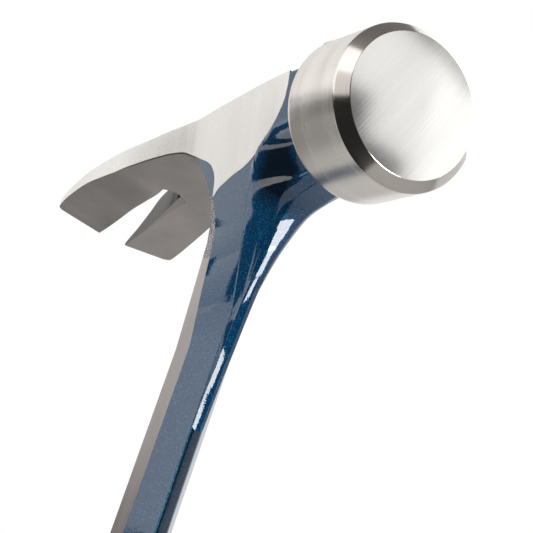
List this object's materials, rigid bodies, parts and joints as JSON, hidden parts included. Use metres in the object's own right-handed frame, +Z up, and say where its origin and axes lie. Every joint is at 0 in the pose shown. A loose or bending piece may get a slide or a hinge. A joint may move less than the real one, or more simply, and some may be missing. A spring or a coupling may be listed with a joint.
{
  "type": "framing hammer",
  "caption": "Straight-claw framing hammer: one steel forging from round striking end to tang, with a stacked leather washer grip held by a butt cap.",
  "frame": {"origin": "middle of the flat butt face, on the centre line of the shank", "axes": "+Z up the shank from the butt to the head, +X the way the striking face looks, -X towards the claws, +Y across the head"},
  "size_m": [0.159, 0.0428, 0.406],
  "materials": {
    "forged_steel": "ground and brushed bare steel on the striking end, cheeks and claws; sparkling dark blue paint on the neck and shank",
    "cap_steel": "satin steel",
    "leather": "stacked leather, sanded round and lacquered",
    "blue_fibre": "vulcanised fibre, sanded flush"
  },
  "bodies": {
    "root": {"forged_head_and_shank": "forged_steel", "butt_cap": "cap_steel", "top_collar": "cap_steel", "leather_washer_01": "leather", "leather_washer_02": "leather", "leather_washer_03": "leather", "leather_washer_04": "leather", "leather_washer_05": "leather", "leather_washer_06": "leather", "leather_washer_07": "leather", "leather_washer_08": "leather", "leather_washer_09": "leather", "leather_washer_10": "leather", "leather_washer_11": "leather", "leather_washer_12": "leather", "leather_washer_13": "leather", "leather_washer_14": "leather", "leather_washer_15": "leather", "leather_washer_16": "leather", "leather_washer_17": "leather", "leather_washer_18": "leather", "leather_washer_19": "leather", "leather_washer_20": "leather", "leather_washer_21": "leather", "leather_washer_22": "leather", "leather_washer_23": "leather", "leather_washer_24": "leather", "leather_washer_25": "leather", "leather_washer_26": "leather", "leather_washer_27": "leather", "leather_washer_28": "leather", "leather_washer_29": "leather", "leather_washer_30": "leather", "leather_washer_31": "leather", "leather_washer_32": "leather", "leather_washer_33": "leather", "leather_washer_34": "leather", "leather_washer_35": "leather", "leather_washer_36": "leather", "fibre_spacer_01": "blue_fibre", "fibre_spacer_02": "blue_fibre", "fibre_spacer_03": "blue_fibre", "fibre_spacer_04": "blue_fibre", "fibre_spacer_05": "blue_fibre", "fibre_spacer_06": "blue_fibre"}
  },
  "joints": []
}
